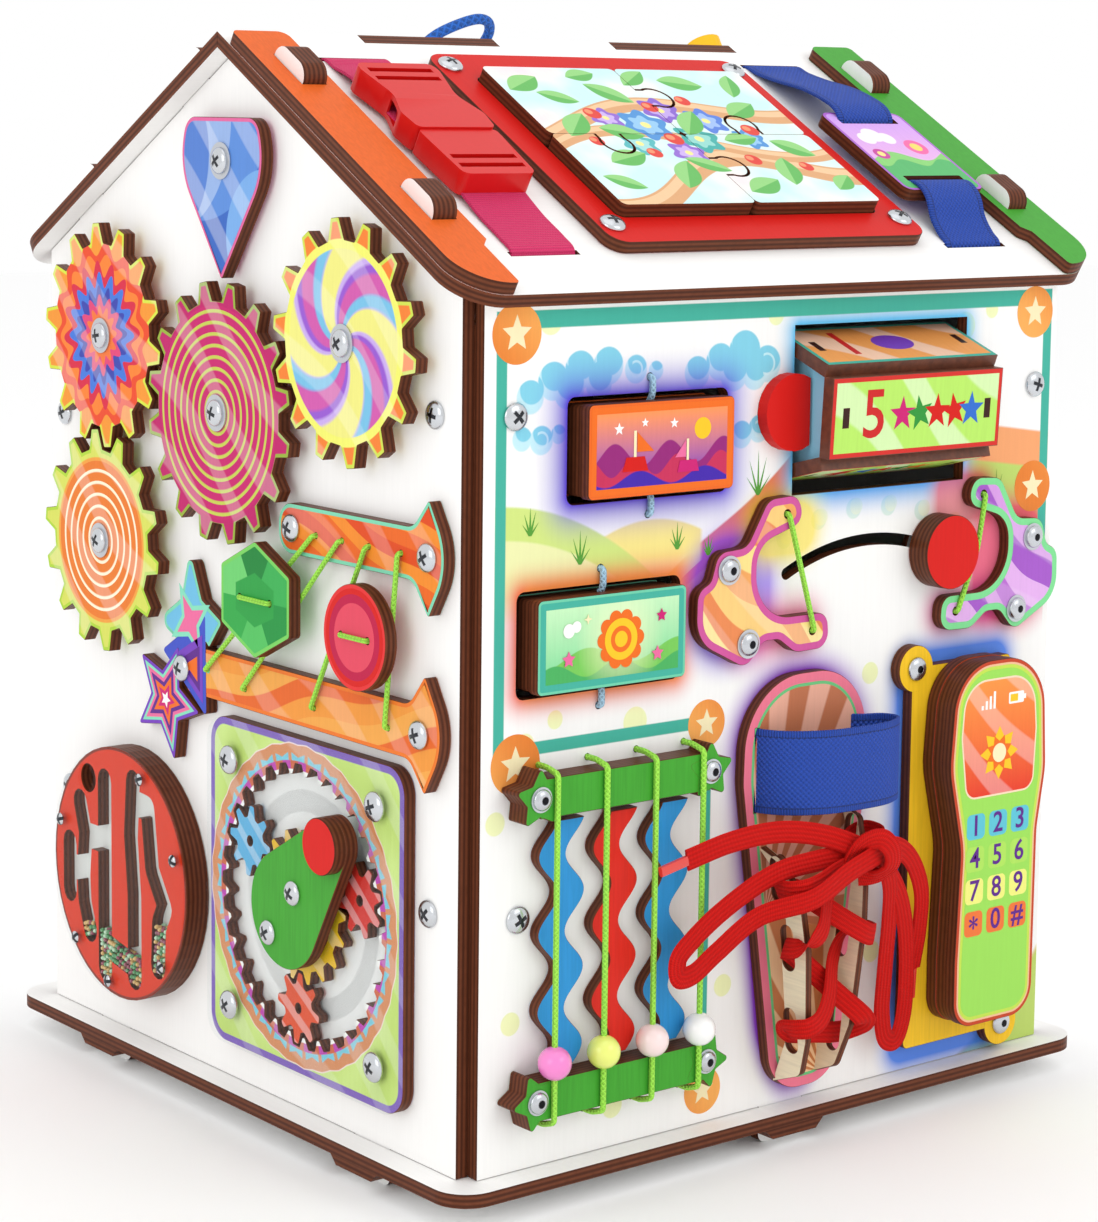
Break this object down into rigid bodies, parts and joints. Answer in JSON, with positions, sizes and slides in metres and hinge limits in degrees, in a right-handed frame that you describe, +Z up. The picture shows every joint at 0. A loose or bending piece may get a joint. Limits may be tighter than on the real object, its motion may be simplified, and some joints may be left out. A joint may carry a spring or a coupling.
{
  "type": "busy board",
  "caption": "House-shaped wooden activity board on a base, with gears, laces, a maze disc, a planetary gearbox, flip blocks, a number drum, a shoe and a toy phone.",
  "frame": {"origin": "on the ground, under the middle of the box round the whole toy without its free cords", "axes": "+Z up; the front wall under the eave faces -Y; the gable wall with the gears faces -X; the ridge runs along X"},
  "size_m": [0.384, 0.396, 0.5018],
  "materials": {
    "white_ply": "white printed birch plywood with dark laser cut edges",
    "orange_ply": "painted and varnished birch plywood",
    "green_ply": "painted and varnished birch plywood",
    "red_ply": "painted and varnished birch plywood",
    "magenta_ply": "painted and varnished birch plywood",
    "lime_ply": "painted and varnished birch plywood",
    "blue_ply": "painted and varnished birch plywood",
    "teal_ply": "painted and varnished birch plywood",
    "yellow_ply": "painted and varnished birch plywood",
    "purple_ply": "painted and varnished birch plywood",
    "brown_ply": "painted and varnished birch plywood",
    "picture_ply": "painted and varnished birch plywood",
    "bead_pink": "glossy lacquered bead",
    "bead_yellow": "glossy lacquered bead",
    "bead_blush": "glossy lacquered bead",
    "bead_white": "glossy lacquered bead",
    "clear_acrylic": "clear acrylic sheet",
    "red_plastic": "moulded plastic",
    "lime_cord": "braided polyester cord",
    "light_blue_cord": "braided polyester cord",
    "rope_blue": "braided rope",
    "red_lace": "flat woven shoe lace",
    "magenta_webbing": "ribbed webbing",
    "blue_band": "woven band"
  },
  "bodies": {
    "house": {"base_panel": "white_ply", "front_wall": "white_ply", "back_wall": "white_ply", "left_gable_wall": "white_ply", "right_gable_wall": "white_ply", "front_roof_panel": "white_ply", "back_roof_panel": "white_ply", "orange_verge_strip": "orange_ply", "green_verge_strip": "green_ply", "upper_lace_rail": "orange_ply", "lower_lace_rail": "orange_ply", "lacing_cord": "lime_cord", "ring_gear_plate": "lime_ply", "gearbox_window": "clear_acrylic", "flip_cord": "light_blue_cord", "crescent_left": "orange_ply", "crescent_right": "purple_ply", "rack_bar_upper": "green_ply", "rack_bar_lower": "green_ply", "wavy_strip_left": "blue_ply", "wavy_strip_middle": "red_ply", "wavy_strip_right": "blue_ply", "rack_cord": "lime_cord", "shoe_sole": "brown_ply", "shoe_strap": "blue_band", "shoe_lace": "red_lace", "phone_plate": "yellow_ply", "puzzle_frame": "red_ply", "buckle_socket": "red_plastic", "webbing": "magenta_webbing", "strap_card": "purple_ply", "card_strap": "blue_band", "rope_handle": "rope_blue"},
    "pointer": {"pointer": "blue_ply"},
    "gear_centre": {"gear_centre": "magenta_ply"},
    "gear_upper_left": {"gear_upper_left": "red_ply"},
    "gear_right": {"gear_right": "lime_ply"},
    "gear_lower_left": {"gear_lower_left": "orange_ply"},
    "hexagon_button": {"hexagon_button": "green_ply"},
    "round_button": {"round_button": "red_ply"},
    "maze_disc": {"maze_disc": "red_ply"},
    "crank": {"crank_sun_gear": "green_ply"},
    "planet_carrier": {"planet_carrier": "clear_acrylic"},
    "planet_red": {"planet_red": "red_ply"},
    "planet_blue": {"planet_blue": "blue_ply"},
    "planet_orange": {"planet_orange": "orange_ply"},
    "flip_block_upper": {"flip_block_upper": "orange_ply"},
    "flip_block_lower": {"flip_block_lower": "teal_ply"},
    "number_drum": {"number_drum": "lime_ply"},
    "arc_slider": {"arc_slider": "red_ply"},
    "bead_pink": {"bead_pink": "bead_pink"},
    "bead_yellow": {"bead_yellow": "bead_yellow"},
    "bead_blush": {"bead_blush": "bead_blush"},
    "bead_white": {"bead_white": "bead_white"},
    "toy_phone": {"toy_phone": "lime_ply"},
    "puzzle_upper_left": {"puzzle_upper_left": "picture_ply"},
    "puzzle_upper_right": {"puzzle_upper_right": "picture_ply"},
    "puzzle_lower_left": {"puzzle_lower_left": "picture_ply"},
    "puzzle_lower_right": {"puzzle_lower_right": "picture_ply"},
    "buckle_plug": {"buckle_plug": "red_plastic"}
  },
  "joints": [
    {"name": "pointer_swing", "type": "hinge", "parent": "house", "child": "pointer", "pos_m": [-0.171, 0.00925, 0.4335], "axis": [-1, 0, 0], "range_deg": [-110, 110]},
    {"name": "gear_centre_spin", "type": "hinge", "parent": "house", "child": "gear_centre", "pos_m": [-0.171, 0.00925, 0.3225], "axis": [-1, 0, 0], "continuous": true},
    {"name": "gear_upper_left_spin", "type": "hinge", "parent": "house", "child": "gear_upper_left", "pos_m": [-0.171, 0.10915, 0.3502], "axis": [-1, 0, 0], "continuous": true},
    {"name": "gear_right_spin", "type": "hinge", "parent": "house", "child": "gear_right", "pos_m": [-0.171, -0.08795, 0.36], "axis": [-1, 0, 0], "continuous": true},
    {"name": "gear_lower_left_spin", "type": "hinge", "parent": "house", "child": "gear_lower_left", "pos_m": [-0.171, 0.11105, 0.2535], "axis": [-1, 0, 0], "continuous": true},
    {"name": "hexagon_button_slide", "type": "slide", "parent": "house", "child": "hexagon_button", "axis": [0, -0.77, 0.638], "range_m": [-0.012, 0.008]},
    {"name": "round_button_slide", "type": "slide", "parent": "house", "child": "round_button", "axis": [0, -0.3, 0.9539], "range_m": [-0.008, 0.008]},
    {"name": "maze_turn", "type": "hinge", "parent": "house", "child": "maze_disc", "pos_m": [-0.171, 0.09285, 0.0969], "axis": [-1, 0, 0], "continuous": true},
    {"name": "crank_turn", "type": "hinge", "parent": "house", "child": "crank", "pos_m": [-0.171, -0.05065, 0.1107], "axis": [-1, 0, 0], "continuous": true},
    {"name": "planet_carrier_turn", "type": "hinge", "parent": "house", "child": "planet_carrier", "pos_m": [-0.171, -0.05065, 0.1107], "axis": [-1, 0, 0], "continuous": true},
    {"name": "planet_red_spin", "type": "hinge", "parent": "planet_carrier", "child": "planet_red", "pos_m": [-0.171, -0.09498, 0.12299], "axis": [-1, 0, 0], "continuous": true},
    {"name": "planet_blue_spin", "type": "hinge", "parent": "planet_carrier", "child": "planet_blue", "pos_m": [-0.171, -0.00992, 0.13208], "axis": [-1, 0, 0], "continuous": true},
    {"name": "planet_orange_spin", "type": "hinge", "parent": "planet_carrier", "child": "planet_orange", "pos_m": [-0.171, -0.04864, 0.06474], "axis": [-1, 0, 0], "continuous": true},
    {"name": "flip_block_upper_spin", "type": "hinge", "parent": "house", "child": "flip_block_upper", "pos_m": [-0.0773, -0.15975, 0.318], "axis": [0, 0, 1], "continuous": true},
    {"name": "flip_block_lower_spin", "type": "hinge", "parent": "house", "child": "flip_block_lower", "pos_m": [-0.1028, -0.15975, 0.2391], "axis": [0, 0, 1], "continuous": true},
    {"name": "number_drum_spin", "type": "hinge", "parent": "house", "child": "number_drum", "pos_m": [0.059, -0.15565, 0.3282], "axis": [1, 0, 0], "continuous": true},
    {"name": "arc_slider_swing", "type": "hinge", "parent": "house", "child": "arc_slider", "pos_m": [0.053, -0.16275, 0.1505], "axis": [0, -1, 0], "range_deg": [0, 35]},
    {"name": "bead_pink_slide", "type": "slide", "parent": "house", "child": "bead_pink", "axis": [0, 0, 1], "range_m": [0, 0.093]},
    {"name": "bead_yellow_slide", "type": "slide", "parent": "house", "child": "bead_yellow", "axis": [0, 0, 1], "range_m": [0, 0.093]},
    {"name": "bead_blush_slide", "type": "slide", "parent": "house", "child": "bead_blush", "axis": [0, 0, 1], "range_m": [0, 0.093]},
    {"name": "bead_white_slide", "type": "slide", "parent": "house", "child": "bead_white", "axis": [0, 0, 1], "range_m": [0, 0.093]},
    {"name": "toy_phone_lift", "type": "slide", "parent": "house", "child": "toy_phone", "axis": [0, -1, 0], "range_m": [0, 0.1]},
    {"name": "puzzle_upper_left_lift", "type": "slide", "parent": "house", "child": "puzzle_upper_left", "axis": [0, -0.5, 0.866], "range_m": [0, 0.04]},
    {"name": "puzzle_upper_right_lift", "type": "slide", "parent": "house", "child": "puzzle_upper_right", "axis": [0, -0.5, 0.866], "range_m": [0, 0.04]},
    {"name": "puzzle_lower_left_lift", "type": "slide", "parent": "house", "child": "puzzle_lower_left", "axis": [0, -0.5, 0.866], "range_m": [0, 0.04]},
    {"name": "puzzle_lower_right_lift", "type": "slide", "parent": "house", "child": "puzzle_lower_right", "axis": [0, -0.5, 0.866], "range_m": [0, 0.04]},
    {"name": "buckle_plug_slide", "type": "slide", "parent": "house", "child": "buckle_plug", "axis": [0, -0.866, -0.5], "range_m": [0, 0.012]}
  ],
  "couplings": [
    {"joint": "gear_upper_left_spin", "follows": "gear_centre_spin", "ratio": -1.1429},
    {"joint": "gear_right_spin", "follows": "gear_centre_spin", "ratio": -1.1429},
    {"joint": "gear_lower_left_spin", "follows": "gear_centre_spin", "ratio": 1.1429},
    {"joint": "planet_carrier_turn", "follows": "crank_turn", "ratio": 0.34},
    {"joint": "planet_red_spin", "follows": "crank_turn", "ratio": -1.4025},
    {"joint": "planet_blue_spin", "follows": "crank_turn", "ratio": -1.4025},
    {"joint": "planet_orange_spin", "follows": "crank_turn", "ratio": -1.4025}
  ]
}
